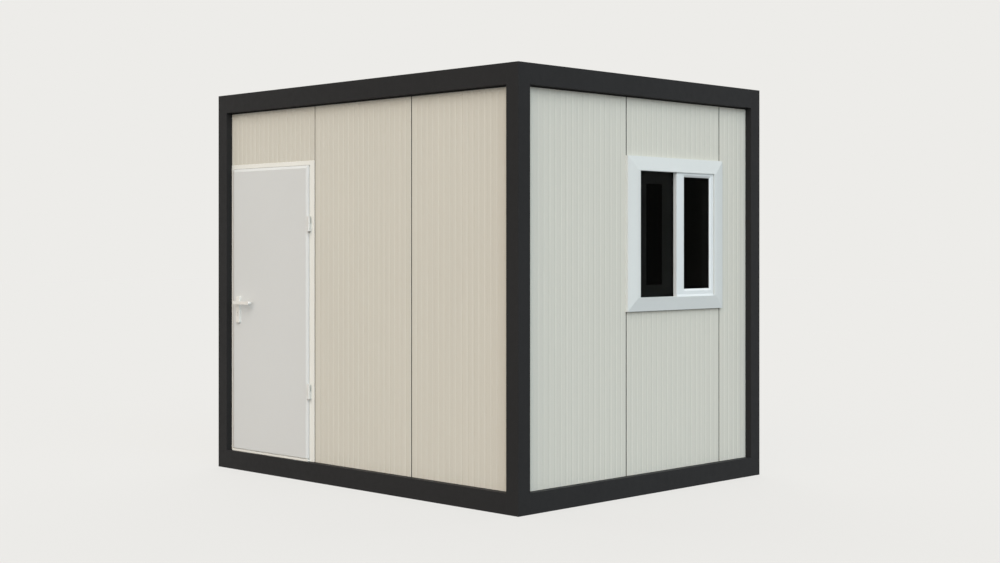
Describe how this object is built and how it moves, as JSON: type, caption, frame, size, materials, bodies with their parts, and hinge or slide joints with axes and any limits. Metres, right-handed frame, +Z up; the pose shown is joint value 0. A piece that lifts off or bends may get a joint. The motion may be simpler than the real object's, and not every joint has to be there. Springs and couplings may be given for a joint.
{
  "type": "prefabricated guard booth",
  "caption": "Small prefabricated guard booth with a dark steel frame, pale insulated wall panels, an outward-opening flush door on the front and a sliding window on the right side.",
  "frame": {"origin": "ground level under the middle of the cabin", "axes": "+Z up, +X to the right along the door side, +Y from the door side to the rear"},
  "size_m": [3, 2.425, 2.66],
  "materials": {
    "frame_steel": "satin dark grey paint",
    "bare_steel": "grey primer",
    "wall_panel": "satin off-white coated sheet with fine upright lines",
    "joint_seal": "matt dark seal",
    "floor_board": "coated floor board",
    "ceiling": "satin white coated sheet",
    "roof_sheet": "galvanised coated sheet",
    "door_frame": "satin white paint",
    "door_leaf": "satin pale grey paint",
    "door_hardware": "satin white powder coat",
    "window_pvc": "white extruded profile",
    "tinted_glass": "dark tinted"
  },
  "bodies": {
    "cabin": {"corner_post_front_left": "frame_steel", "corner_post_front_right": "frame_steel", "corner_post_rear_left": "frame_steel", "corner_post_rear_right": "frame_steel", "base_beam_front": "frame_steel", "base_beam_right": "frame_steel", "base_beam_rear": "frame_steel", "base_beam_left": "frame_steel", "roof_beam_front": "frame_steel", "roof_beam_right": "frame_steel", "roof_beam_rear": "frame_steel", "roof_beam_left": "frame_steel", "floor_joists": "bare_steel", "roof_purlins": "bare_steel", "front_panel_over_door": "wall_panel", "front_panel_middle": "wall_panel", "front_panel_right": "wall_panel", "right_panel_front": "wall_panel", "right_panel_under_window": "wall_panel", "right_panel_over_window": "wall_panel", "right_panel_rear": "wall_panel", "rear_panel_right": "wall_panel", "rear_panel_middle": "wall_panel", "rear_panel_left": "wall_panel", "left_panel_rear": "wall_panel", "left_panel_middle": "wall_panel", "left_panel_front": "wall_panel", "door_jamb_latch": "door_frame", "door_jamb_hinge": "door_frame", "door_head": "door_frame", "door_threshold": "door_frame", "window_casing": "window_pvc", "window_frame": "window_pvc", "window_sliding_sash": "window_pvc", "window_inner_sash": "window_pvc", "floor_deck": "floor_board", "ceiling_panel": "ceiling", "roof_sheet": "roof_sheet", "panel_joint_seals": "joint_seal", "door_hinge_frame_side": "door_hardware", "window_glass": "tinted_glass"},
    "door": {"door_leaf": "door_leaf", "door_hinge_leaf_side": "door_hardware", "door_handle_plates": "door_hardware"},
    "lever": {"door_lever": "door_hardware"}
  },
  "joints": [
    {"name": "door_hinge", "type": "hinge", "parent": "cabin", "child": "door", "pos_m": [-0.494, -1.174, 0], "axis": [0, 0, 1], "range_deg": [0, 160]},
    {"name": "lever_hinge", "type": "hinge", "parent": "door", "child": "lever", "pos_m": [-1.286, -1.2, 1.182], "axis": [0, 1, 0], "range_deg": [0, 40], "stiffness_Nm_per_rad": 1.5, "springref_deg": -22.92}
  ]
}
